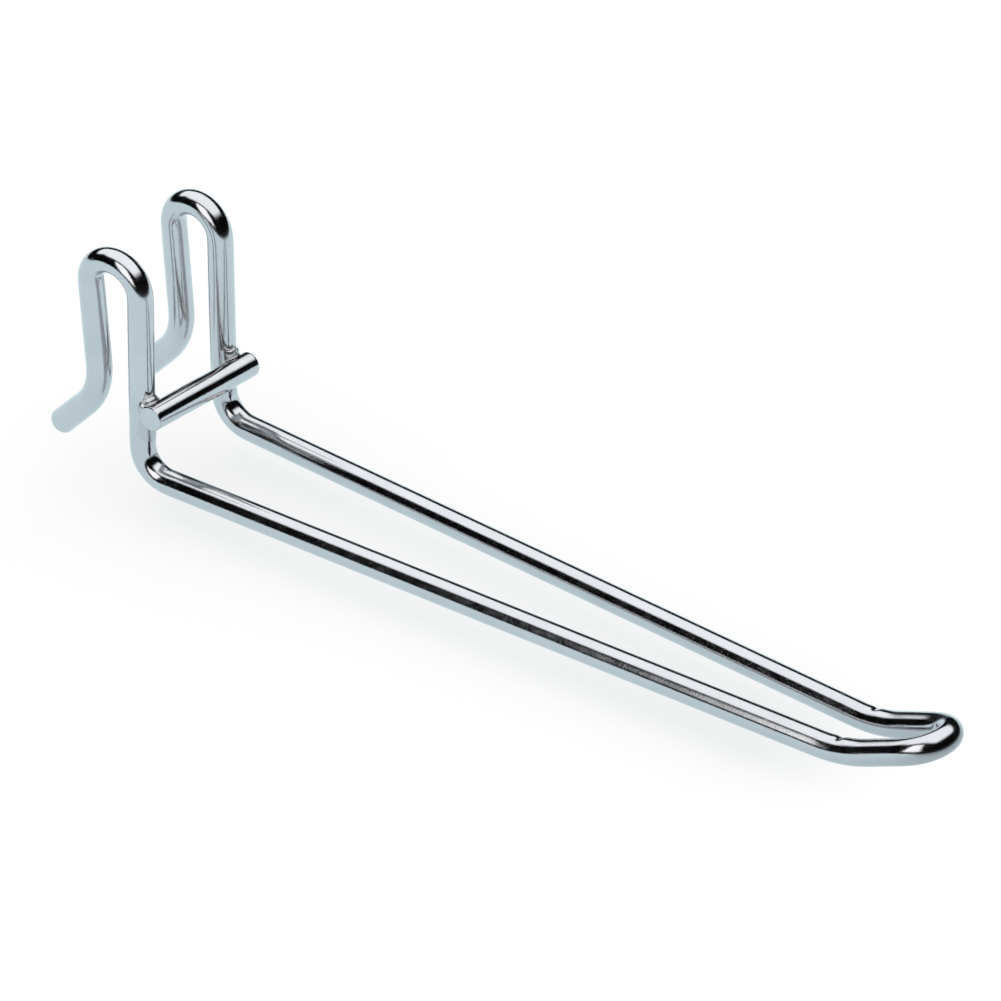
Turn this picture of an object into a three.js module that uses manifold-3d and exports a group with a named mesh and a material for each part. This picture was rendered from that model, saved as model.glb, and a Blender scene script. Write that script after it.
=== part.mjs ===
// Double-prong display hook: one bent wire that hangs over a rail, and a cross bar welded to its legs.
//
// Millimetres. +Z is up, -Y is the way the prongs point, X runs along the rail.
// The origin is the middle of the rail's top edge, where both hooks come to rest.

import * as THREE from 'three';
import Module from 'manifold-3d';
import { mergeVertices } from 'three/addons/utils/BufferGeometryUtils.js';

// Driving dimensions. Spreads, radii, rises and reaches are taken on the wire's centreline.
const WIRE_DIAMETER = 6;
const LEG_SPREAD = 28.9; // between the two legs
const TIP_SPREAD = 13.9; // between the two arms where they start to turn up
const ARM_REACH = 181.7; // from the legs to the start of the upturn
const LEG_RISE = 46.6; // from the arms to the start of the hook's arc
const FOOT_BEND_RADIUS = 7.3;
const UPTURN_RADIUS = 30;
const UPTURN_TURN = 23.4; // degrees
const TIP_RUN = 11; // straight stretch between the upturn and the loop that joins the two arms
const HOOK_RADIUS = 6.8;
const HOOK_TURN = 183.8; // degrees, so the back leg leans in towards the front one
const BACK_LEG = 22.3;
const KICK_RADIUS = 15.8;
const KICK_TURN = 47.2; // degrees
const KICK_RUN = 10.9;

const BAR_DIAMETER = 6;
const BAR_LEFT_END = 18.1; // along the bar, from the middle of the hook
const BAR_RIGHT_END = 19;
const BAR_RISE = 16.5; // above the arms
const BAR_TILT = -5.2; // degrees, so the right end is lower
const BAR_SET_OFF = 5.5; // in front of the legs, less than the two radii because the weld sinks it in
const BAR_CHAMFER = 0.3;

// The weld's flash squeezes out around the crossing as an oval bead.
const WELD_HALF_SIZE = new THREE.Vector3(3.8, 2.4, 4.4);
const WELD_SET_OFF = 2.9; // in front of the leg's centreline
const FIT_GAP = 0.3; // left between pieces that meet at a weld

// How finely the round shapes are cut up.
const WIRE_SIDES = 16;
const BAR_SIDES = 24;
const WELD_SIDES = 20;
const WELD_RINGS = 12;
const DEGREES_PER_STEP = 12;

const UP = new THREE.Vector3(0, 0, 1);
const BACKWARD = new THREE.Vector3(0, 1, 0);
const ACROSS = new THREE.Vector3(1, 0, 0);
const WIRE_RADIUS = WIRE_DIAMETER / 2;
const LEG_Y = -HOOK_RADIUS;
const HOOK_CENTRE_Z = WIRE_RADIUS - HOOK_RADIUS;
const ARM_Z = HOOK_CENTRE_Z - LEG_RISE;
const BAR_MIDDLE = new THREE.Vector3(0, LEG_Y - BAR_SET_OFF, ARM_Z + BAR_RISE);

const wasm = await Module();
wasm.setup();

// A run is one straight or bent stretch of the wire. at(f) is the point a share f of the way along it.
function straightRun(start, heading, length) {
  const at = (f) => start.clone().addScaledVector(heading, f * length);
  return { at, steps: 1, end: at(1), heading };
}

function bendRun(start, heading, towards, radius, degrees) {
  const turn = THREE.MathUtils.degToRad(degrees);
  const at = (f) => start.clone()
    .addScaledVector(heading, radius * Math.sin(turn * f))
    .addScaledVector(towards, radius * (1 - Math.cos(turn * f)));
  const endHeading = heading.clone().multiplyScalar(Math.cos(turn)).addScaledVector(towards, Math.sin(turn));
  return { at, steps: Math.ceil(degrees / DEGREES_PER_STEP), end: at(1), heading: endHeading };
}

function reversedRun(run) {
  return { ...run, at: (f) => run.at(1 - f) };
}

// The unit vector square to heading that lies closest to wanted.
function squareTo(heading, wanted) {
  return wanted.clone().addScaledVector(heading, -wanted.dot(heading)).normalize();
}

// From the top of the front leg over the rail, down the back leg and out to the kicked end.
function hookRuns(legTop) {
  const arc = bendRun(legTop, UP, BACKWARD, HOOK_RADIUS, HOOK_TURN);
  const back = straightRun(arc.end, arc.heading, BACK_LEG);
  const kick = bendRun(back.end, back.heading, squareTo(back.heading, BACKWARD), KICK_RADIUS, KICK_TURN);
  const end = straightRun(kick.end, kick.heading, KICK_RUN);
  return [arc, back, kick, end];
}

// From the top of the front leg down, along the arm and round to the middle of the tip.
function armRuns(legTop, side) {
  const forward = new THREE.Vector3(-side * (LEG_SPREAD - TIP_SPREAD) / 2, -ARM_REACH, 0).normalize();
  const down = UP.clone().negate();
  const leg = straightRun(legTop, down, LEG_RISE - FOOT_BEND_RADIUS);
  const foot = bendRun(leg.end, down, forward, FOOT_BEND_RADIUS, 90);
  const arm = straightRun(foot.end, forward, ARM_REACH - FOOT_BEND_RADIUS);
  const upturn = bendRun(arm.end, forward, UP, UPTURN_RADIUS, UPTURN_TURN);
  const tip = straightRun(upturn.end, upturn.heading, TIP_RUN);
  return [leg, foot, arm, upturn, tip, loopHalfRun(tip, side)];
}

// Half of the loop that joins the arms. Its radius brings it to the middle, running straight across.
function loopHalfRun(tip, side) {
  const inward = ACROSS.clone().multiplyScalar(-side);
  const turn = THREE.MathUtils.radToDeg(tip.heading.angleTo(inward));
  const towards = squareTo(tip.heading, inward);
  const unitLoop = bendRun(new THREE.Vector3(), tip.heading, towards, 1, turn);
  const radius = Math.abs(tip.end.x / unitLoop.end.x);
  return bendRun(tip.end, tip.heading, towards, radius, turn);
}

// One half of the wire, from its cut end to the middle of the tip.
function halfWire(side) {
  const legTop = new THREE.Vector3(side * LEG_SPREAD / 2, LEG_Y, HOOK_CENTRE_Z);
  const toCutEnd = hookRuns(legTop);
  return [...toCutEnd.reverse().map(reversedRun), ...armRuns(legTop, side)];
}

// The wire's centreline. A run takes as many stations as it has steps, whatever its length.
class WirePath extends THREE.Curve {
  constructor(runs) {
    super();
    this.runs = runs;
    this.stations = runs.reduce((sum, run) => sum + run.steps, 0);
  }

  getPoint(t, target = new THREE.Vector3()) {
    let station = THREE.MathUtils.clamp(t, 0, 1) * this.stations;
    let index = 0;
    while (station > this.runs[index].steps && index < this.runs.length - 1) {
      station -= this.runs[index].steps;
      index += 1;
    }
    const run = this.runs[index];
    return target.copy(run.at(Math.min(station / run.steps, 1)));
  }

  getUtoTmapping(u) {
    return u;
  }
}

// A round section whose sides lie flat underneath the arms.
function wireSection() {
  const circumradius = WIRE_RADIUS / Math.cos(Math.PI / WIRE_SIDES);
  const corners = Array.from({ length: WIRE_SIDES }, (_, i) => {
    const angle = (2 * Math.PI * (i + 0.5)) / WIRE_SIDES;
    return new THREE.Vector2(circumradius * Math.cos(angle), circumradius * Math.sin(angle));
  });
  return new THREE.Shape(corners);
}

function hookWireGeometry() {
  const right = halfWire(1).reverse().map(reversedRun);
  const path = new WirePath([...halfWire(-1), ...right]);
  const options = { steps: path.stations, extrudePath: path, bevelEnabled: false };
  return new THREE.ExtrudeGeometry(wireSection(), options);
}

function toSolid(geometry) {
  const bare = geometry.clone();
  bare.deleteAttribute('normal');
  bare.deleteAttribute('uv');
  const merged = mergeVertices(bare);
  const vertProperties = new Float32Array(merged.attributes.position.array);
  const triVerts = new Uint32Array(merged.index.array);
  return new wasm.Manifold(new wasm.Mesh({ numProp: 3, vertProperties, triVerts }));
}

function toGeometry(solid) {
  const mesh = solid.getMesh();
  const geometry = new THREE.BufferGeometry();
  geometry.setAttribute('position', new THREE.Float32BufferAttribute(mesh.vertProperties, 3));
  geometry.setIndex(new THREE.Uint32BufferAttribute(mesh.triVerts, 1));
  geometry.computeVertexNormals();
  return geometry;
}

// The stretch of leg next to a weld with the fit gap around it, to cut the pieces that meet it.
function legClearance(side) {
  const length = 4 * WELD_HALF_SIZE.z;
  const radius = WIRE_RADIUS + FIT_GAP;
  const geometry = new THREE.CylinderGeometry(radius, radius, length, BAR_SIDES);
  geometry.rotateX(Math.PI / 2);
  geometry.translate(side * LEG_SPREAD / 2, LEG_Y, crossingHeight(side));
  return toSolid(geometry);
}

// Stands a shape made along +Y along the bar, which runs across and slightly downhill.
function layAlongBar(geometry) {
  geometry.rotateZ(-Math.PI / 2);
  geometry.rotateY(-THREE.MathUtils.degToRad(BAR_TILT));
  geometry.translate(BAR_MIDDLE.x, BAR_MIDDLE.y, BAR_MIDDLE.z);
  return geometry;
}

function barClearance() {
  const length = 2 * (BAR_LEFT_END + BAR_RIGHT_END);
  const radius = BAR_DIAMETER / 2 + FIT_GAP;
  return toSolid(layAlongBar(new THREE.CylinderGeometry(radius, radius, length, BAR_SIDES)));
}

// The height at which the bar's centreline passes a leg.
function crossingHeight(side) {
  return BAR_MIDDLE.z + side * (LEG_SPREAD / 2) * Math.tan(THREE.MathUtils.degToRad(BAR_TILT));
}

function crossBarGeometry() {
  const radius = BAR_DIAMETER / 2;
  const profile = [
    new THREE.Vector2(0, -BAR_LEFT_END),
    new THREE.Vector2(radius - BAR_CHAMFER, -BAR_LEFT_END),
    new THREE.Vector2(radius, -BAR_LEFT_END + BAR_CHAMFER),
    new THREE.Vector2(radius, BAR_RIGHT_END - BAR_CHAMFER),
    new THREE.Vector2(radius - BAR_CHAMFER, BAR_RIGHT_END),
    new THREE.Vector2(0, BAR_RIGHT_END),
  ];
  const bar = toSolid(layAlongBar(new THREE.LatheGeometry(profile, BAR_SIDES)));
  return toGeometry(bar.subtract(legClearance(-1)).subtract(legClearance(1)));
}

function weldGeometry(side) {
  const bead = new THREE.SphereGeometry(1, WELD_SIDES, WELD_RINGS);
  bead.scale(WELD_HALF_SIZE.x, WELD_HALF_SIZE.y, WELD_HALF_SIZE.z);
  bead.translate(side * LEG_SPREAD / 2, LEG_Y - WELD_SET_OFF, crossingHeight(side));
  return toGeometry(toSolid(bead).subtract(legClearance(side)).subtract(barClearance()));
}

function brightChrome() {
  return new THREE.MeshStandardMaterial({ color: 0xc9d0d4, roughness: 0.08, metalness: 1 });
}

function weldChrome() {
  return new THREE.MeshStandardMaterial({ color: 0xb4b9bd, roughness: 0.25, metalness: 1 });
}

function part(name, geometry, material) {
  const mesh = new THREE.Mesh(geometry, material);
  mesh.name = name;
  return mesh;
}

const displayHook = new THREE.Group();
displayHook.add(part('hook_wire', hookWireGeometry(), brightChrome()));
displayHook.add(part('cross_bar', crossBarGeometry(), brightChrome()));
displayHook.add(part('weld_left', weldGeometry(-1), weldChrome()));
displayHook.add(part('weld_right', weldGeometry(1), weldChrome()));

export default displayHook;
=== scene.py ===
"""The looks of a chrome-plated double-prong display hook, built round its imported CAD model.

Metres, in the CAD frame: +Z up, -Y the way the prongs point, X along the rail, origin on the rail's top edge.
"""

import math

import bpy
import numpy as np
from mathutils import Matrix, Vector


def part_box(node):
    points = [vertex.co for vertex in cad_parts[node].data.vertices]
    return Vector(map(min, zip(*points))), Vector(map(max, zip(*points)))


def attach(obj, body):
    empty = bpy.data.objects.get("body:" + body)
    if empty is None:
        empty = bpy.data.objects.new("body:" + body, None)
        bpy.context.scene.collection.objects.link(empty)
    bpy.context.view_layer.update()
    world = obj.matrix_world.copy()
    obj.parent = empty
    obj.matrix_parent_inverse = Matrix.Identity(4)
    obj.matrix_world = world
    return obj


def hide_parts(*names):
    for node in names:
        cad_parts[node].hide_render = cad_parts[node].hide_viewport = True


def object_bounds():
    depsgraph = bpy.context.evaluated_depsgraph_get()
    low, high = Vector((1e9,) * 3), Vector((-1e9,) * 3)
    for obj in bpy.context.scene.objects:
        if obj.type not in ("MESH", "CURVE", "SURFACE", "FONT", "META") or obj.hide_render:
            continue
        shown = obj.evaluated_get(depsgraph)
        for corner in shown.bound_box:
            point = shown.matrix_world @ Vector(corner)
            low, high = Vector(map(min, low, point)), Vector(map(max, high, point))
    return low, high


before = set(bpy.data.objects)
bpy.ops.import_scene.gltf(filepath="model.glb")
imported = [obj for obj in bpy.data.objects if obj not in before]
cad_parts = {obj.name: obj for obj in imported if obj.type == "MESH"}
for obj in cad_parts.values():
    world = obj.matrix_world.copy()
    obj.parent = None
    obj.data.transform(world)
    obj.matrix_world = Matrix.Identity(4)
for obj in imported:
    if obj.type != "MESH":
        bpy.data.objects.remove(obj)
CAD_LOW, CAD_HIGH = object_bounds()
WIRE_LOW, WIRE_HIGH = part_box("hook_wire")
BAR_LOW, BAR_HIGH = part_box("cross_bar")

MM = 0.001

# The wire's driving dimensions, on its centreline, as in the CAD, but for 1.2 mm more run at the tip, since
# the easing of the loop draws it in.
WIRE_RADIUS = 3 * MM
TIP_SPREAD = 13.9 * MM
ARM_REACH = 181.7 * MM
FOOT_BEND_RADIUS = 7.3 * MM
UPTURN_RADIUS = 30 * MM
UPTURN_TURN = math.radians(23.4)
TIP_RUN = 12.2 * MM
HOOK_RADIUS = 6.8 * MM
HOOK_TURN = math.radians(183.8)
BACK_LEG = 22.3 * MM
KICK_RADIUS = 15.8 * MM
KICK_TURN = math.radians(47.2)
KICK_RUN = 10.9 * MM

# What the frame gives.
LEG_X = WIRE_HIGH.x - WIRE_RADIUS
LEG_Y = -HOOK_RADIUS
ARM_Z = WIRE_LOW.z + WIRE_RADIUS
HOOK_CENTRE_Z = WIRE_RADIUS - HOOK_RADIUS
LEG_RISE = HOOK_CENTRE_Z - ARM_Z
BAR_RADIUS = (BAR_HIGH.y - BAR_LOW.y) / 2
BAR_Y = (BAR_HIGH.y + BAR_LOW.y) / 2

UP = np.array([0.0, 0.0, 1.0])
BACKWARD = np.array([0.0, 1.0, 0.0])
ACROSS = np.array([1.0, 0.0, 0.0])

WIRE_SIDES = 56
STRAIGHT_STEP = 0.8 * MM
BEND_STEP = 0.45 * MM
BEND_EASE = 1.5 * MM
TIP_EASE = 4.5 * MM
TIP_EASE_SPAN = 15 * MM
END_KEPT = 3 * BEND_EASE


def unit(vector):
    return vector / np.linalg.norm(vector)


def square_to(heading, wanted):
    """The unit vector square to heading that lies closest to wanted."""
    return unit(wanted - heading * np.dot(wanted, heading))


class Run:
    """One straight or bent stretch of the wire's centreline: its points, and where it ends and heads."""

    def __init__(self, start, heading, towards=None, radius=0.0, turn=0.0, length=0.0):
        if towards is None:
            count = max(2, math.ceil(length / STRAIGHT_STEP) + 1)
            self.points = start + np.linspace(0, length, count)[:, None] * heading
            self.heading = heading
        else:
            count = max(3, math.ceil(radius * turn / BEND_STEP) + 1)
            angle = np.linspace(0, turn, count)[:, None]
            self.points = start + radius * (np.sin(angle) * heading + (1 - np.cos(angle)) * towards)
            self.heading = math.cos(turn) * heading + math.sin(turn) * towards
        self.end = self.points[-1]


def hook_runs(leg_top):
    """From the top of the front leg over the rail, down the back leg and out to the cut end."""
    arc = Run(leg_top, UP, BACKWARD, HOOK_RADIUS, HOOK_TURN)
    back = Run(arc.end, arc.heading, length=BACK_LEG)
    kick = Run(back.end, back.heading, square_to(back.heading, BACKWARD), KICK_RADIUS, KICK_TURN)
    return [arc, back, kick, Run(kick.end, kick.heading, length=KICK_RUN)]


def arm_runs(leg_top, side):
    """From the top of the front leg down, along the arm and round to the middle of the tip."""
    forward = unit(np.array([-side * (LEG_X - TIP_SPREAD / 2), -ARM_REACH, 0.0]))
    leg = Run(leg_top, -UP, length=LEG_RISE - FOOT_BEND_RADIUS)
    foot = Run(leg.end, -UP, forward, FOOT_BEND_RADIUS, math.pi / 2)
    arm = Run(foot.end, forward, length=ARM_REACH - FOOT_BEND_RADIUS)
    upturn = Run(arm.end, forward, UP, UPTURN_RADIUS, UPTURN_TURN)
    tip = Run(upturn.end, upturn.heading, length=TIP_RUN)
    inward = -side * ACROSS
    turn = math.acos(np.dot(tip.heading, inward))
    towards = square_to(tip.heading, inward)
    reach = (math.sin(turn) * tip.heading + (1 - math.cos(turn)) * towards)[0]
    loop = Run(tip.end, tip.heading, towards, abs(tip.end[0] / reach), turn)
    return [leg, foot, arm, upturn, tip, loop]


# The two hooks aren't bent quite alike: the left leg leans forward, and the right hook stands higher.
# The lean stops short of the upturned tip, which also rises above the arms.
LEFT_LEAN = 0.8 * MM
LEAN_STOPS_AT = -30 * MM
RIGHT_LIFT = 1.0 * MM
LIFT_FROM = -20 * MM
LIFT_TO = -4 * MM


def as_bent(points, side):
    """Centreline points of one side, moved from the even shape to the real one."""
    moved = points.copy()
    height = points[:, 2]
    if side < 0:
        rise = np.clip((height - ARM_Z) / LEG_RISE, 0, 1) * (points[:, 1] > LEAN_STOPS_AT)
        front = np.clip((HOOK_RADIUS - points[:, 1]) / (2 * HOOK_RADIUS), 0, 1)
        moved[:, 1] -= LEFT_LEAN * rise * front
    else:
        moved[:, 2] += RIGHT_LIFT * np.clip((height - LIFT_FROM) / (LIFT_TO - LIFT_FROM), 0, 1)
    return moved


def half_wire(side):
    """Points from one cut end to the middle of the tip."""
    leg_top = np.array([side * LEG_X, LEG_Y, HOOK_CENTRE_Z])
    hook = np.vstack([run.points[1:] for run in hook_runs(leg_top)])[::-1]
    arm = np.vstack([leg_top[None]] + [run.points[1:] for run in arm_runs(leg_top, side)])
    return as_bent(np.vstack([hook, arm]), side)


def softened(values, station, reach):
    """Values along the wire, averaged over a distance of about reach each way."""
    apart = (station[:, None] - station[None, :]) / np.reshape(reach, (-1, 1))
    weights = np.exp(-(apart**2)) * np.gradient(station)[None, :]
    return weights @ values / weights.sum(1, keepdims=True)


def even_ease(from_middle):
    """Bends ease in and out over the same stretch everywhere."""
    return BEND_EASE


def tip_ease(from_middle):
    """The loop at the tip eases in and out over a longer stretch than the other bends."""
    return BEND_EASE + (TIP_EASE - BEND_EASE) * np.exp(-((from_middle / TIP_EASE_SPAN) ** 4))


class Spine:
    """A centreline whose bends ease in and out, with a frame that doesn't twist."""

    def __init__(self, points, first_side, ease_reach=even_ease):
        steps = np.linalg.norm(np.diff(points, axis=0), axis=1)
        self.station = np.concatenate([[0.0], np.cumsum(steps)])
        from_middle = np.abs(self.station - self.station[-1] / 2)
        eased = softened(points, self.station, ease_reach(from_middle))
        inside = np.minimum(self.station, self.station[-1] - self.station) > END_KEPT
        self.points = np.where(inside[:, None], eased, points)
        slope = np.gradient(self.points, self.station, axis=0)
        self.headings = slope / np.linalg.norm(slope, axis=1, keepdims=True)
        self.bends = softened(-np.gradient(self.headings, self.station, axis=0), self.station, BEND_EASE)
        self.sides = np.empty_like(points)
        side = first_side
        for i, heading in enumerate(self.headings):
            side = square_to(heading, side)
            self.sides[i] = side
        self.tops = np.cross(self.headings, self.sides)


def mesh_object(name, points, faces, material, uv=None):
    """A smooth-shaded object made of points and faces, linked to the scene."""
    mesh = bpy.data.meshes.new(name)
    mesh.from_pydata([tuple(p) for p in points], [], faces)
    mesh.validate()
    if uv is not None:
        layer = mesh.uv_layers.new(name="along_and_round")
        layer.data.foreach_set("uv", np.asarray(uv, np.float32).ravel())
    mesh.shade_smooth()
    mesh.materials.append(material)
    piece = bpy.data.objects.new(name, mesh)
    bpy.context.scene.collection.objects.link(piece)
    return piece


def swept_faces(rings, sides):
    """Quads between rings of points, with a fan of triangles on the centre point at each end."""
    first_centre, last_centre = rings * sides, rings * sides + 1
    faces = []
    for i in range(rings - 1):
        for j in range(sides):
            k = (j + 1) % sides
            faces.append((i * sides + j, i * sides + k, (i + 1) * sides + k, (i + 1) * sides + j))
    last = (rings - 1) * sides
    for j in range(sides):
        k = (j + 1) % sides
        faces.append((first_centre, k, j))
        faces.append((last_centre, last + j, last + k))
    return faces


# A sheared and tumbled end: from the side of the wire over a rounded edge to the middle of the face.
EDGE_ROUND = 0.45 * MM
EDGE_STEPS = 7
FACE_RINGS = 6


def end_profile(radius):
    """Distances short of the end and radii, from the wire's side inwards."""
    turn = np.linspace(0, math.pi / 2, EDGE_STEPS)
    short = EDGE_ROUND * (1 - np.sin(turn))
    radii = radius - EDGE_ROUND * (1 - np.cos(turn))
    face = np.linspace(radii[-1], 0, FACE_RINGS + 1)[1:-1]
    return np.concatenate([short, np.zeros(len(face))]), np.concatenate([radii, face])


def sweep(name, spine, radius, material, shape, extra_stations=()):
    """A solid round bar along a spine. shape moves the ring points for bends, marks and dents."""
    short, radii = end_profile(radius)
    length = spine.station[-1]
    body = np.union1d(spine.station, extra_stations)
    body = body[(body > EDGE_ROUND) & (body < length - EDGE_ROUND)]
    station = np.concatenate([short[::-1], body, length - short])
    ring_radius = np.concatenate([radii[::-1], np.full(len(body), radius), radii])

    def along(values):
        return np.stack([np.interp(station, spine.station, v) for v in values.T], 1)

    centres, sides, tops = along(spine.points), along(spine.sides), along(spine.tops)
    angle = 2 * math.pi * np.arange(WIRE_SIDES) / WIRE_SIDES
    spokes = np.cos(angle)[None, :, None] * sides[:, None] + np.sin(angle)[None, :, None] * tops[:, None]
    offset = ring_radius[:, None, None] * spokes
    share = (ring_radius / radius)[:, None]
    push = share * shape(centres[:, None] + offset, spokes, along(spine.bends))
    offset = offset + push[..., None] * spokes
    points = (centres[:, None] + offset).reshape(-1, 3)
    points = np.vstack([points, centres[0], centres[-1]])
    around = np.arange(WIRE_SIDES + 1) / WIRE_SIDES * 2 * math.pi * radius
    uv = []
    for i in range(len(station) - 1):
        for j in range(WIRE_SIDES):
            uv += [(station[i], around[j]), (station[i], around[j + 1])]
            uv += [(station[i + 1], around[j + 1]), (station[i + 1], around[j])]
    for j in range(WIRE_SIDES):
        uv += [(station[0], 0), (station[0], around[j + 1]), (station[0], around[j])]
        uv += [(station[-1], 0), (station[-1], around[j]), (station[-1], around[j + 1])]
    return mesh_object(name, points, swept_faces(len(station), WIRE_SIDES), material, uv)


LUMP_WAVES = 24
SHORTEST_LUMP = 0.6
LONGEST_LUMP = 1.6


def lumps(points, scale, seed):
    """A smooth random field about 1 high, made of plane waves about scale long."""
    random = np.random.default_rng(seed)
    directions = random.normal(size=(LUMP_WAVES, 3))
    directions /= np.linalg.norm(directions, axis=1)[:, None]
    lengths = scale * random.uniform(SHORTEST_LUMP, LONGEST_LUMP, LUMP_WAVES)
    phases = random.uniform(0, 2 * math.pi, LUMP_WAVES)
    field = np.zeros(points.shape[:-1])
    for direction, length, phase in zip(directions, lengths, phases):
        field += np.sin(points @ direction * (2 * math.pi / length) + phase)
    return field / math.sqrt(LUMP_WAVES / 2)


WAVE_HEIGHT = 0.004 * MM
RIPPLE_HEIGHT = 0.0012 * MM


def drawn_waviness(points, wave_length, ripple_length, seed):
    """The slight unevenness of drawn wire: long waves and finer ripples."""
    waves = WAVE_HEIGHT * lumps(points, wave_length, seed)
    return waves + RIPPLE_HEIGHT * lumps(points, ripple_length, seed + 1)


# How far tight bends flatten and spread, and the nick that the bending tool leaves on top of each arm.
BEND_FLATTENING = 0.16 * MM
BEND_SPREAD = 0.06 * MM
TIGHT_CURVATURE = 1 / HOOK_RADIUS
LEAST_CURVATURE = 1e-3
WIRE_WAVE = 12 * MM
WIRE_RIPPLE = 3 * MM
WIRE_SEED = 5
NICK_DEPTH = 0.34 * MM
NICK_HALF_WIDTH = 0.85 * MM
NICK_HALF_LENGTH = 1.6 * MM
NICK_OFF_CENTRE = 0.9 * MM
NICK_STEP = 0.12 * MM
NICK_FINE_REACH = 3 * NICK_HALF_WIDTH
NICK_TURN = 5.1 * MM / UPTURN_RADIUS


def nick_places():
    """The top of each arm, right of its middle, a little way into the upturn."""
    out, up = math.sin(NICK_TURN), math.cos(NICK_TURN)
    top = UPTURN_RADIUS - WIRE_RADIUS
    for side in (-1, 1):
        across = side * TIP_SPREAD / 2 + NICK_OFF_CENTRE
        yield np.array([across, LEG_Y - ARM_REACH - top * out, ARM_Z + UPTURN_RADIUS - top * up])


def shape_wire(points, spokes, bends):
    """How far each surface point moves out: flattened bends, tool nicks, and waviness."""
    curvature = np.linalg.norm(bends, axis=1)
    outward = bends / np.maximum(curvature, LEAST_CURVATURE)[:, None]
    across = np.einsum("rsk,rk->rs", spokes, outward) ** 2
    tightness = (curvature / TIGHT_CURVATURE)[:, None]
    push = (BEND_SPREAD * (1 - across) - BEND_FLATTENING * across) * tightness
    push += drawn_waviness(points, WIRE_WAVE, WIRE_RIPPLE, WIRE_SEED)
    for place in nick_places():
        away = points - place
        lengthwise = away[..., 1] / NICK_HALF_WIDTH
        crosswise = away[..., 0] / NICK_HALF_LENGTH
        near_top = away[..., 2] > -WIRE_RADIUS
        push -= NICK_DEPTH * near_top * np.exp(-(lengthwise**2) - crosswise**4)
    return push


# ---------------------------------------------------------------- materials


def node(tree, kind, **inputs):
    """A new node with some of its inputs set. An underscore in an input's name stands for a space."""
    made = tree.nodes.new(kind)
    for name, value in inputs.items():
        made.inputs[name.replace("_", " ")].default_value = value
    return made


def grey(value):
    return (value, value, value)


def ramp(tree, source, stops):
    """A colour ramp over source, from stops of position and colour."""
    made = tree.nodes.new("ShaderNodeValToRGB")
    tree.links.new(source, made.inputs["Fac"])
    elements = made.color_ramp.elements
    while len(elements) < len(stops):
        elements.new(0.5)
    for element, (position, colour) in zip(elements, stops):
        element.position = position
        element.color = (*colour, 1)
    return made


def noise(tree, coordinates, scale, detail=4, roughness=0.55):
    made = node(tree, "ShaderNodeTexNoise", Scale=scale, Detail=detail, Roughness=roughness)
    tree.links.new(coordinates, made.inputs["Vector"])
    return made


def bump(tree, height, strength, distance, under=None):
    """Bump from height, laid over the normal of the bump under it."""
    made = node(tree, "ShaderNodeBump", Strength=strength, Distance=distance)
    tree.links.new(height, made.inputs["Height"])
    if under is not None:
        tree.links.new(under, made.inputs["Normal"])
    return made.outputs["Normal"]


CHROME = (0.60, 0.58, 0.585)
DULL_SHARE = 0.93
WELD_SHARE = 0.95
CLOUD_SCALE = 90
HAZE_SCALE = 260
DRAW_LINE_SCALE = 3500
DRAW_LINE_STRETCH = (0.02, 1.0, 1.0)
DRAW_LINE_STRENGTH = 0.06
DRAW_LINE_DISTANCE = 0.04 * MM
MOTTLE_SCALE = 4300
MOTTLE_TURN = (0.6, 0.4, 0.9)
MOTTLE_STRENGTH = 0.4
MOTTLE_DISTANCE = 0.03 * MM
PIT_SCALE = 2400
PIT_FLOOR = 0.04
PIT_RIM = 0.16
PIT_STRENGTH = 0.2
PIT_DISTANCE = 0.06 * MM


def chrome(name, tint, low_roughness, high_roughness):
    """Bright chrome over drawn wire: cloudy roughness, draw lines along it, orange peel and pits."""
    material = bpy.data.materials.new(name)
    material.use_nodes = True
    tree = material.node_tree
    shader = tree.nodes["Principled BSDF"]
    shader.inputs["Metallic"].default_value = 1.0
    place = tree.nodes.new("ShaderNodeTexCoord")

    clouds = noise(tree, place.outputs["Object"], CLOUD_SCALE, 5)
    dull = tuple(DULL_SHARE * c for c in tint)
    colour = ramp(tree, clouds.outputs["Fac"], [(0.35, tint), (0.72, dull)])
    tree.links.new(colour.outputs["Color"], shader.inputs["Base Color"])

    haze = noise(tree, place.outputs["Object"], HAZE_SCALE, 6, 0.62)
    rough = ramp(tree, haze.outputs["Fac"], [(0.38, grey(low_roughness)), (0.7, grey(high_roughness))])
    tree.links.new(rough.outputs["Color"], shader.inputs["Roughness"])

    stretch = node(tree, "ShaderNodeMapping", Scale=DRAW_LINE_STRETCH)
    tree.links.new(place.outputs["UV"], stretch.inputs["Vector"])
    lines = noise(tree, stretch.outputs["Vector"], DRAW_LINE_SCALE, 3)
    turned = node(tree, "ShaderNodeMapping", Rotation=MOTTLE_TURN)
    tree.links.new(place.outputs["Object"], turned.inputs["Vector"])
    mottle = noise(tree, turned.outputs["Vector"], MOTTLE_SCALE, 2, 0.5)
    pits = node(tree, "ShaderNodeTexVoronoi", Scale=PIT_SCALE)
    tree.links.new(place.outputs["Object"], pits.inputs["Vector"])
    depth = ramp(tree, pits.outputs["Distance"], [(PIT_FLOOR, grey(0.0)), (PIT_RIM, grey(1.0))])
    lined = bump(tree, lines.outputs["Fac"], DRAW_LINE_STRENGTH, DRAW_LINE_DISTANCE)
    mottled = bump(tree, mottle.outputs["Fac"], MOTTLE_STRENGTH, MOTTLE_DISTANCE, lined)
    pitted = bump(tree, depth.outputs["Color"], PIT_STRENGTH, PIT_DISTANCE, mottled)
    tree.links.new(pitted, shader.inputs["Normal"])
    return material


# ---------------------------------------------------------------- pieces

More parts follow.
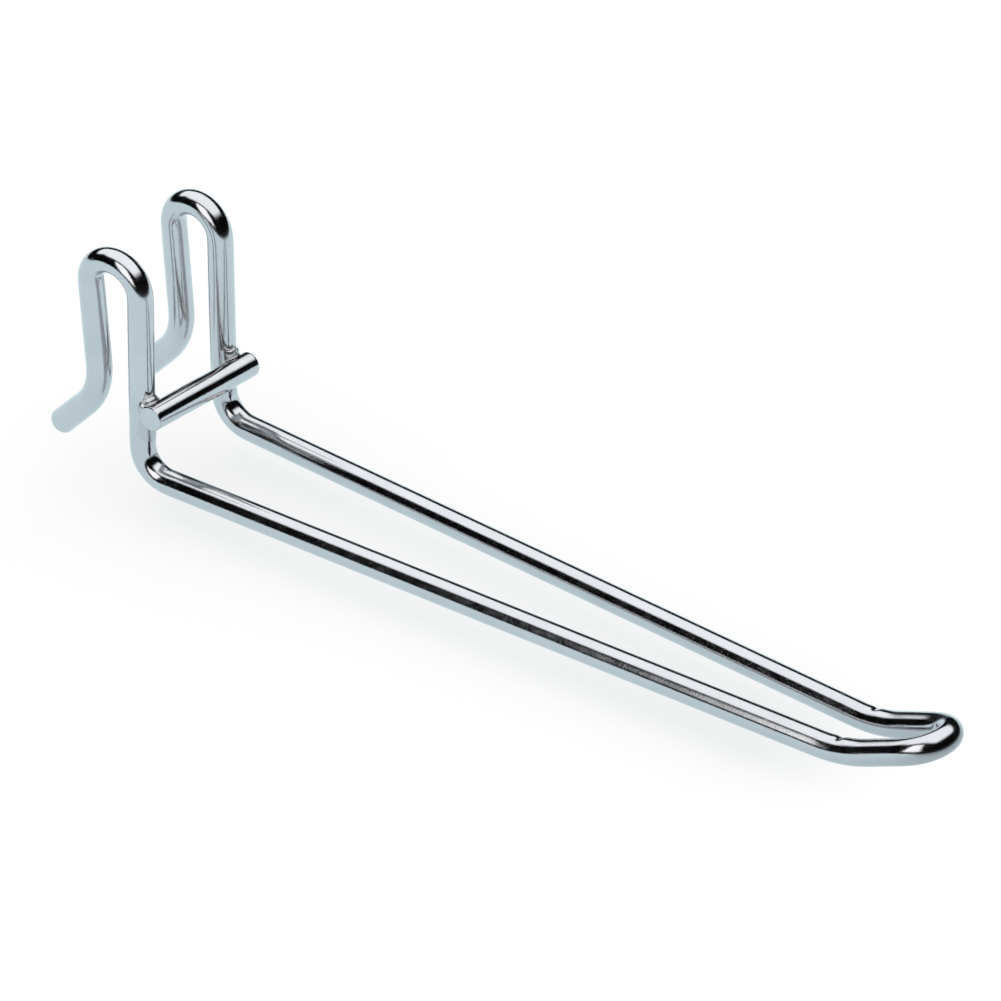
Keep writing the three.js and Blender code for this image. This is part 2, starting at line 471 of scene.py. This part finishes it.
wire_chrome = chrome("wire_chrome", CHROME, low_roughness=0.08, high_roughness=0.17)
bar_chrome = chrome("bar_chrome", CHROME, low_roughness=0.08, high_roughness=0.15)
WELD_TINT = tuple(WELD_SHARE * c for c in CHROME)
weld_chrome = chrome("weld_chrome", WELD_TINT, low_roughness=0.24, high_roughness=0.4)


def make_wire():
    spine = Spine(np.vstack([half_wire(-1), half_wire(1)[-2::-1]]), ACROSS, tip_ease)
    nick_stations = []
    for place in nick_places():
        middle = spine.station[np.argmin(np.linalg.norm(spine.points - place, axis=1))]
        nick_stations.append(middle + np.arange(-NICK_FINE_REACH, NICK_FINE_REACH, NICK_STEP))
    extra_stations = np.concatenate(nick_stations)
    return sweep("bent_wire", spine, WIRE_RADIUS, wire_chrome, shape_wire, extra_stations)


# The bar runs down to the right, and sticks out a little further on the left.
BAR_TILT = math.radians(-5.2)
BAR_LEFT_END = 18.1 * MM
BAR_RIGHT_END = 17.3 * MM
BAR_RISE = 16.5 * MM
BAR_WAVE = 8 * MM
BAR_RIPPLE = 2.5 * MM
BAR_SEED = 15
BAR_HEADING = np.array([math.cos(BAR_TILT), 0.0, math.sin(BAR_TILT)])
BAR_MIDDLE = np.array([0.0, BAR_Y, ARM_Z + BAR_RISE])


def shape_bar(points, spokes, bends):
    """A little waviness, as on the wire."""
    return drawn_waviness(points, BAR_WAVE, BAR_RIPPLE, BAR_SEED)


def make_bar():
    start = BAR_MIDDLE - BAR_LEFT_END * BAR_HEADING
    run = Run(start, BAR_HEADING, length=BAR_LEFT_END + BAR_RIGHT_END)
    return sweep("welded_bar", Spine(run.points, UP), BAR_RADIUS, bar_chrome, shape_bar)


# The weld metal squeezed out between leg and bar: a fillet in the crook, and pads that lie on the leg
# beside it.
WELD_SINK = 0.03 * MM
WELD_CELL = 0.147 * MM
FILLET_RADIUS = 1.7 * MM
FILLET_SINK = 0.16 * MM
PAD_SQUARENESS = 3
PAD_STEEPNESS = 0.9 * MM
PAD_MELT = 0.5 * MM
PAD_UNEVEN_SHARE = 0.3
UNEVEN_HEIGHT = 0.04 * MM
UNEVEN_LENGTH = 3.4 * MM
WELD_REACH = np.array([5.2, 5.6, 9.6]) * MM
WELD_REACH_LIFT = 1.4 * MM


class Weld:
    """One bead, from a fillet between leg and bar and from pads of metal on the leg."""

    def __init__(self, side, pads, seed):
        self.height = BAR_MIDDLE[2] + side * LEG_X * math.tan(BAR_TILT)
        self.leg = as_bent(np.array([[side * LEG_X, LEG_Y, self.height]]), side)[0, :2]
        self.pads = pads
        self.seed = seed
        self.middle = np.array([side * LEG_X, (LEG_Y + BAR_Y) / 2, self.height + WELD_REACH_LIFT])

    def field(self, points):
        """Below zero inside the bead, and inside leg and bar a hair under their surfaces."""
        from_leg = points[..., :2] - self.leg
        leg = np.linalg.norm(from_leg, axis=-1) - WIRE_RADIUS
        from_middle = points - BAR_MIDDLE
        along = from_middle @ BAR_HEADING
        radial = np.linalg.norm(from_middle - along[..., None] * BAR_HEADING, axis=-1) - BAR_RADIUS
        ends = np.maximum(-BAR_LEFT_END - along, along - BAR_RIGHT_END) + EDGE_ROUND
        bar = np.maximum(radial, ends)
        uneven = UNEVEN_HEIGHT * lumps(points, UNEVEN_LENGTH, self.seed)
        near_leg = np.clip(1 - leg / FILLET_RADIUS, 0, None)
        near_bar = np.clip(1 - bar / FILLET_RADIUS, 0, None)
        bead = FILLET_RADIUS * (1 - np.hypot(near_leg, near_bar)) + FILLET_SINK + uneven
        round_leg = WIRE_RADIUS * np.arctan2(from_leg[..., 0], -from_leg[..., 1])
        up_leg = points[..., 2] - self.height
        for across, up, half_width, half_height, thickness, horns in self.pads:
            wide = np.abs(round_leg - across) / half_width
            tall = np.abs(up_leg - up - horns * wide**2) / half_height
            proud = np.clip(leg, 0, None) / thickness
            power = PAD_SQUARENESS
            size = (wide**power + tall**power + proud**power) ** (1 / power)
            lump = PAD_STEEPNESS * (size - 1) + PAD_UNEVEN_SHARE * uneven
            melt = np.clip(1 - np.abs(bead - lump) / PAD_MELT, 0, None)
            bead = np.minimum(bead, lump) - melt**2 * PAD_MELT / 4
        solid = np.minimum(np.minimum(leg, bar) + WELD_SINK, bead)
        edge = (np.linalg.norm((points - self.middle) / WELD_REACH, axis=-1) - 1) * WELD_REACH.min()
        return np.maximum(solid, edge)


def surface_net(field, low, cell, counts):
    """A closed mesh of quads on the zero level of field, with one point in each cell that it crosses."""
    axes = [low[k] + cell * np.arange(counts[k]) for k in range(3)]
    grid = np.stack(np.meshgrid(*axes, indexing="ij"), -1)
    value = field(grid)
    inside = value < 0
    total = np.zeros(tuple(c - 1 for c in counts) + (3,))
    hits = np.zeros(tuple(c - 1 for c in counts))
    corners = [(i, j, k) for i in (0, 1) for j in (0, 1) for k in (0, 1)]

    def at(array, corner):
        return array[tuple(slice(o, o + n - 1) for o, n in zip(corner, counts))]

    for a in corners:
        for b in corners:
            if sum(abs(x - y) for x, y in zip(a, b)) == 1 and a < b:
                crosses = at(inside, a) != at(inside, b)
                fall = np.where(crosses, at(value, a) - at(value, b), 1)
                share = (at(value, a) / fall)[..., None]
                point = at(grid, a) + share * (at(grid, b) - at(grid, a))
                total += np.where(crosses[..., None], point, 0)
                hits += crosses
    used = hits > 0
    number = np.full(used.shape, -1)
    number[used] = np.arange(used.sum())
    faces = []
    for axis, u, v in ((0, 1, 2), (1, 2, 0), (2, 0, 1)):
        first = np.moveaxis(inside, (axis, u, v), (0, 1, 2))
        cells = np.moveaxis(number, (axis, u, v), (0, 1, 2))
        low_in, high_in = first[:-1, 1:-1, 1:-1], first[1:, 1:-1, 1:-1]
        change = low_in != high_in
        ring = [cells[:, :-1, :-1], cells[:, 1:, :-1], cells[:, 1:, 1:], cells[:, :-1, 1:]]
        quad = np.stack(ring, -1)[change]
        flip = ~low_in[change]
        quad[flip] = quad[flip][:, ::-1]
        faces += [tuple(int(n) for n in q) for q in quad]
    return total[used] / hits[used][:, None], faces


SETTLE_PASSES = 4
SETTLE_STEP_SHARE = 0.05
LEAST_SLOPE_SQUARED = 0.1


def settle(points, field, cell):
    """Moves points onto the zero level of field."""
    step = cell * SETTLE_STEP_SHARE
    for _ in range(SETTLE_PASSES):
        sides = [(field(points + step * e) - field(points - step * e)) / (2 * step) for e in np.eye(3)]
        slope = np.stack(sides, -1)
        steepness = np.maximum((slope**2).sum(1), LEAST_SLOPE_SQUARED)
        move = -field(points)[:, None] * slope / steepness[:, None]
        points = points + np.clip(move, -cell / 2, cell / 2)
    return points


def make_weld(name, weld):
    low = weld.middle - WELD_REACH - 2 * WELD_CELL
    counts = tuple(int(c) for c in np.ceil(2 * (WELD_REACH + 2 * WELD_CELL) / WELD_CELL))
    points, faces = surface_net(weld.field, low, WELD_CELL, counts)
    return mesh_object(name, settle(points, weld.field, WELD_CELL), faces, weld_chrome)


def pad(across, up, half_width, half_height, thickness, horns=0.0):
    """A pad of weld metal, in mm, placed round the leg from its front and up from the bar's axis.

    horns is how far its two sides reach up past its middle.
    """
    return tuple(MM * value for value in (across, up, half_width, half_height, thickness, horns))


LEFT_PADS = (
    pad(-0.4, 1.5, 2.3, 2.0, 1.0),
    pad(-2.6, 1.2, 0.7, 1.5, 1.0),
)
RIGHT_PADS = (
    pad(-0.9, 2.3, 1.9, 1.8, 0.6, 1.1),
    pad(2.0, 1.9, 0.9, 1.1, 0.6),
    pad(-2.6, -5.9, 1.1, 0.8, 0.35),
    pad(-0.9, -6.0, 0.8, 0.9, 0.35),
)

wire = make_wire()
bar = make_bar()
weld_left = make_weld("weld_bead_left", Weld(-1, LEFT_PADS, 31))
weld_right = make_weld("weld_bead_right", Weld(1, RIGHT_PADS, 32))
for piece, cad_node, slot in (
    (wire, "hook_wire", "chrome_wire"),
    (bar, "cross_bar", "chrome_bar"),
    (weld_left, "weld_left", "chrome_weld"),
    (weld_right, "weld_right", "chrome_weld"),
):
    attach(piece, "root")
    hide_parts(cad_node)


# ---------------------------------------------------------------- stage, light and camera

# The hook hovers a little over the table, so that its shadow is broad and soft.
HOVER = 5.5 * MM
FLOOR_Z = CAD_LOW.z - HOVER
FLOOR_HALF = 3.0
FLOOR_GLOW = 0.49
FLOOR_GREY = 0.53
# What the chrome sees of the table is a painted reflection: its own glow and grey shares, a cool tint, and
# painted dark towards the front.
MIRRORED_GLOW = 0.635
MIRRORED_GREY = 0.42
MIRROR_PAINTED_TINT = (0.79, 0.972, 1.04)
MIRROR_PAINTED_DARK = (0.005, 0.005, 0.005)
TABLE_ROUGHNESS = 0.9
MIRROR_DARK_FROM = -0.34
MIRROR_BRIGHT_FROM = -0.16
# Painted light: under the tip the table glows fully in place of being lit, so that its shadow goes away
# there.
SHADE_NONE_FROM = -0.212
SHADE_FULL_FROM = -0.165


def panel(name, corners, material):
    """A flat four-sided sheet from its corners, with u along the first side and v along the second."""
    mesh = bpy.data.meshes.new(name)
    mesh.from_pydata(corners, [], [(0, 1, 2, 3)])
    layer = mesh.uv_layers.new(name="uv")
    layer.data.foreach_set("uv", (0, 0, 1, 0, 1, 1, 0, 1))
    mesh.materials.append(material)
    made = bpy.data.objects.new(name, mesh)
    bpy.context.scene.collection.objects.link(made)
    return made


def smooth_step(tree, source, start, stop):
    """0 at start and 1 at stop, smoothly."""
    made = node(tree, "ShaderNodeMapRange", From_Min=start, From_Max=stop)
    made.interpolation_type = "SMOOTHSTEP"
    tree.links.new(source, made.inputs["Value"])
    return made.outputs["Result"]


def times(tree, a, b):
    """The product of two outputs."""
    made = tree.nodes.new("ShaderNodeMath")
    made.operation = "MULTIPLY"
    tree.links.new(a, made.inputs[0])
    tree.links.new(b, made.inputs[1])
    return made.outputs[0]


def light_panel(name, corners, colour, fades):
    """A softbox that only shows in the chrome.

    fades are the widths of its soft edges, in metres: u low, u high, v low, v high.
    """
    wide = (Vector(corners[1]) - Vector(corners[0])).length
    tall = (Vector(corners[2]) - Vector(corners[1])).length
    material = bpy.data.materials.new(name)
    material.use_nodes = True
    tree = material.node_tree
    tree.nodes.clear()
    place = tree.nodes.new("ShaderNodeUVMap")
    parts = tree.nodes.new("ShaderNodeSeparateXYZ")
    tree.links.new(place.outputs["UV"], parts.inputs[0])
    u, v = parts.outputs["X"], parts.outputs["Y"]
    u_low, u_high = fades[0] / wide, 1 - fades[1] / wide
    v_low, v_high = fades[2] / tall, 1 - fades[3] / tall
    across = times(tree, smooth_step(tree, u, 0, u_low), smooth_step(tree, u, 1, u_high))
    upright = times(tree, smooth_step(tree, v, 0, v_low), smooth_step(tree, v, 1, v_high))
    clear = tree.nodes.new("ShaderNodeBsdfTransparent")
    glow = node(tree, "ShaderNodeEmission", Color=(*colour, 1), Strength=1.0)
    mix = tree.nodes.new("ShaderNodeMixShader")
    out = tree.nodes.new("ShaderNodeOutputMaterial")
    tree.links.new(times(tree, across, upright), mix.inputs["Fac"])
    tree.links.new(clear.outputs[0], mix.inputs[1])
    tree.links.new(glow.outputs[0], mix.inputs[2])
    tree.links.new(mix.outputs[0], out.inputs["Surface"])
    made = panel(name, corners, material)
    made.visible_camera = False
    made.visible_diffuse = False
    made.visible_shadow = False
    made.visible_transmission = False


def blend(tree, factor, low, high):
    """A colour that goes from low to high with factor. Each of them is a colour or an output."""
    made = tree.nodes.new("ShaderNodeMix")
    made.data_type = "RGBA"
    tree.links.new(factor, made.inputs["Factor"])
    for name, value in (("A", low), ("B", high)):
        if isinstance(value, tuple):
            made.inputs[name].default_value = (*value, 1)
        else:
            tree.links.new(value, made.inputs[name])
    return made.outputs["Result"]


def mirror_tinted(share):
    return tuple(share * c for c in MIRROR_PAINTED_TINT)


def pale_floor():
    """A white table, lit partly from within so that shadows stay faint, with painted light under the tip,
    where it glows fully so that its shadow fades out.

    In the chrome it shows a painted reflection: a cool tint, fainter shadows, and painted dark towards its
    front.
    """
    material = bpy.data.materials.new("pale_floor")
    material.use_nodes = True
    tree = material.node_tree
    shader = tree.nodes["Principled BSDF"]
    path = tree.nodes.new("ShaderNodeLightPath")
    place = tree.nodes.new("ShaderNodeUVMap")
    parts = tree.nodes.new("ShaderNodeSeparateXYZ")
    tree.links.new(place.outputs["UV"], parts.inputs[0])
    limits = (MIRROR_DARK_FROM, MIRROR_BRIGHT_FROM, SHADE_NONE_FROM, SHADE_FULL_FROM)
    dark, bright, unshaded, shaded = ((y / FLOOR_HALF + 1) / 2 for y in limits)
    reach = smooth_step(tree, parts.outputs["Y"], dark, bright)
    # Painted light: towards the tip the diffuse share turns into glow, so the table shows no shadow there.
    shade = smooth_step(tree, parts.outputs["Y"], unshaded, shaded)
    shares = (
        ("Base Color", 0.0, FLOOR_GREY, MIRRORED_GREY),
        ("Emission Color", FLOOR_GLOW + FLOOR_GREY, FLOOR_GLOW, MIRRORED_GLOW),
    )
    for socket, without_shade, with_shade, in_mirror in shares:
        direct = blend(tree, shade, grey(without_shade), grey(with_shade))
        # Painted reflection: glossy rays see the table cool, and painted dark towards its front.
        mirrored = blend(tree, reach, MIRROR_PAINTED_DARK, mirror_tinted(in_mirror))
        seen = blend(tree, path.outputs["Is Glossy Ray"], direct, mirrored)
        tree.links.new(seen, shader.inputs[socket])
    shader.inputs["Roughness"].default_value = TABLE_ROUGHNESS
    shader.inputs["Specular IOR Level"].default_value = 0.0
    shader.inputs["Emission Strength"].default_value = 1.0
    return material


def level(x_low, x_high, y_low, y_high, z):
    """The corners of a level sheet."""
    return [(x_low, y_low, z), (x_high, y_low, z), (x_high, y_high, z), (x_low, y_high, z)]


SOFT_WHITE = (1.35, 1.44, 1.50)
SIDE_WHITE = (1.62, 1.68, 1.73)

OVERHEAD_SPAN = (-0.59, 1.54, -1.27, 1.08)
OVERHEAD_Z = FLOOR_Z + 1.0
OVERHEAD_FADES = (0.27, 0.30, 0.60, 0.35)

BACK_SPAN = (-0.40, 1.54, 0.50, 2.25)
BACK_Z = FLOOR_Z + 1.01
BACK_FADES = (0.35, 0.30, 0.30, 0.30)

# The side softbox stands upright at one x, and its head lies further back than its foot.
SIDE_X = -0.62
SIDE_FOOT_Z = FLOOR_Z + 0.13
SIDE_HEAD_Z = FLOOR_Z + 0.93
SIDE_FOOT_Y = (-0.47, 0.114)
SIDE_HEAD_Y = (-0.274, 0.310)
SIDE_FADES = (0.10, 0.04, 0.06, 0.07)
SIDE_CORNERS = [
    (SIDE_X, SIDE_FOOT_Y[0], SIDE_FOOT_Z),
    (SIDE_X, SIDE_FOOT_Y[1], SIDE_FOOT_Z),
    (SIDE_X, SIDE_HEAD_Y[1], SIDE_HEAD_Z),
    (SIDE_X, SIDE_HEAD_Y[0], SIDE_HEAD_Z),
]

panel("floor", level(-FLOOR_HALF, FLOOR_HALF, -FLOOR_HALF, FLOOR_HALF, FLOOR_Z), pale_floor())
light_panel("overhead_softbox", level(*OVERHEAD_SPAN, OVERHEAD_Z), SOFT_WHITE, OVERHEAD_FADES)
light_panel("back_softbox", level(*BACK_SPAN, BACK_Z), SOFT_WHITE, BACK_FADES)
light_panel("side_softbox", SIDE_CORNERS, SIDE_WHITE, SIDE_FADES)

SURROUNDINGS = (1, 1, 1, 1)
DARK_ROOM = (0.003, 0.003, 0.0035, 1)


def make_world():
    """Even white light for the floor and the background, and a dark room to be seen in the chrome."""
    world = bpy.data.worlds.new("studio")
    world.use_nodes = True
    tree = world.node_tree
    tree.nodes.clear()
    path = tree.nodes.new("ShaderNodeLightPath")
    white = node(tree, "ShaderNodeBackground", Color=SURROUNDINGS, Strength=1.0)
    dark = node(tree, "ShaderNodeBackground", Color=DARK_ROOM, Strength=1.0)
    mix = tree.nodes.new("ShaderNodeMixShader")
    out = tree.nodes.new("ShaderNodeOutputWorld")
    tree.links.new(path.outputs["Is Glossy Ray"], mix.inputs["Fac"])
    tree.links.new(white.outputs[0], mix.inputs[1])
    tree.links.new(dark.outputs[0], mix.inputs[2])
    tree.links.new(mix.outputs[0], out.inputs["Surface"])
    bpy.context.scene.world = world


make_world()

CAMERA_AZIMUTH = math.radians(-52.4)
CAMERA_ELEVATION = math.radians(33.8)
CAMERA_DISTANCE = 1.575
CAMERA_LENS = 259.6
CAMERA_SENSOR = 36
CAMERA_NEAR = 0.05
CAMERA_FAR = 50
AIM_OFFSET = Vector((-3.1, 0.4, -3.0)) * MM


def make_camera():
    """Looks at the middle of the CAD's box, a little off, from the azimuth and elevation above."""
    data = bpy.data.cameras.new("camera")
    data.lens = CAMERA_LENS
    data.sensor_width = CAMERA_SENSOR
    data.clip_start = CAMERA_NEAR
    data.clip_end = CAMERA_FAR
    camera = bpy.data.objects.new("camera", data)
    bpy.context.scene.collection.objects.link(camera)
    back = Vector(
        (
            math.sin(CAMERA_AZIMUTH) * math.cos(CAMERA_ELEVATION),
            -math.cos(CAMERA_AZIMUTH) * math.cos(CAMERA_ELEVATION),
            math.sin(CAMERA_ELEVATION),
        )
    )
    camera.location = (CAD_LOW + CAD_HIGH) / 2 + AIM_OFFSET + back * CAMERA_DISTANCE
    camera.rotation_mode = "QUATERNION"
    camera.rotation_quaternion = (-back).to_track_quat("-Z", "Y")
    bpy.context.scene.camera = camera


make_camera()
bpy.context.scene.view_settings.view_transform = "Standard"
